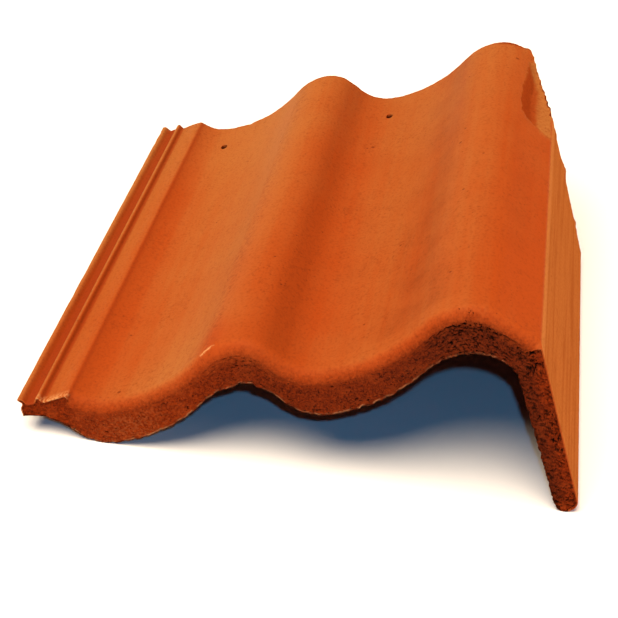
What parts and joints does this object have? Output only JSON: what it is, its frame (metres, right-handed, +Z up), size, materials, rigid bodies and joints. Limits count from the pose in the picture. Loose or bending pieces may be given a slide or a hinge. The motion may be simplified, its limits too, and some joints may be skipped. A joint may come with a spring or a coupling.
{
  "type": "verge tile",
  "caption": "Right-hand verge tile: double-wave interlocking concrete roof tile with a side lap on the left and a flange hanging down on the right to cover the gable edge.",
  "frame": {"origin": "centre of the bounding box's underside, on the floor that the tile lies on", "axes": "+Y along the tile from the eave end to the head, +X from the side lap to the flange, +Z up. The tile lies as it would unheld: leaning 19.2 degrees about its length, on the nose under the first pan, the left nib and the flange's round tip."},
  "size_m": [0.3804, 0.42, 0.1463],
  "materials": {
    "coated_concrete": "matt orange-red coating on the weather side, raw red-brown concrete on the cut ends"
  },
  "bodies": {
    "root": {"verge_tile": "coated_concrete"}
  },
  "joints": []
}
